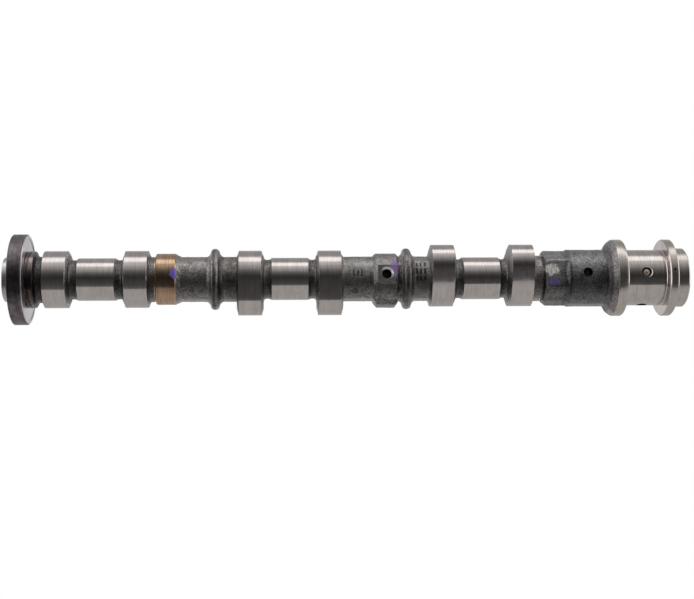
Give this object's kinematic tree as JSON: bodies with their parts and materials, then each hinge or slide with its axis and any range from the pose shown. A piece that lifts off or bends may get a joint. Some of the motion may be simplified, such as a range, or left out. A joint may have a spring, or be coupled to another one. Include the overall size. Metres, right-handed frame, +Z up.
{
  "type": "camshaft",
  "caption": "Overhead camshaft of chilled iron with paired ground lobes, plain journals, a thrust-flanged front journal with a hollow drive nose, and a magnetic timing wheel at the rear.",
  "frame": {"origin": "on the shaft's axis at the middle of the large front journal, halfway between the thrust flanges", "axes": "+X along the shaft's axis towards the drive nose, +Z up in the picture's view, -Y towards its camera"},
  "size_m": [0.3865, 0.051, 0.051],
  "materials": {
    "shaft_iron": "dark cast surface with a fine grain, ground bright on lobes, journals and flanges",
    "ball_steel": "plain bearing ball, lightly tarnished",
    "wheel_steel": "pressed sheet steel, bare",
    "magnet_rubber": "satin bonded magnetic rubber, dark brown grey"
  },
  "bodies": {
    "root": {"camshaft": "shaft_iron", "ball_plug": "ball_steel", "timing_wheel": "wheel_steel", "magnet_ring": "magnet_rubber"}
  },
  "joints": []
}
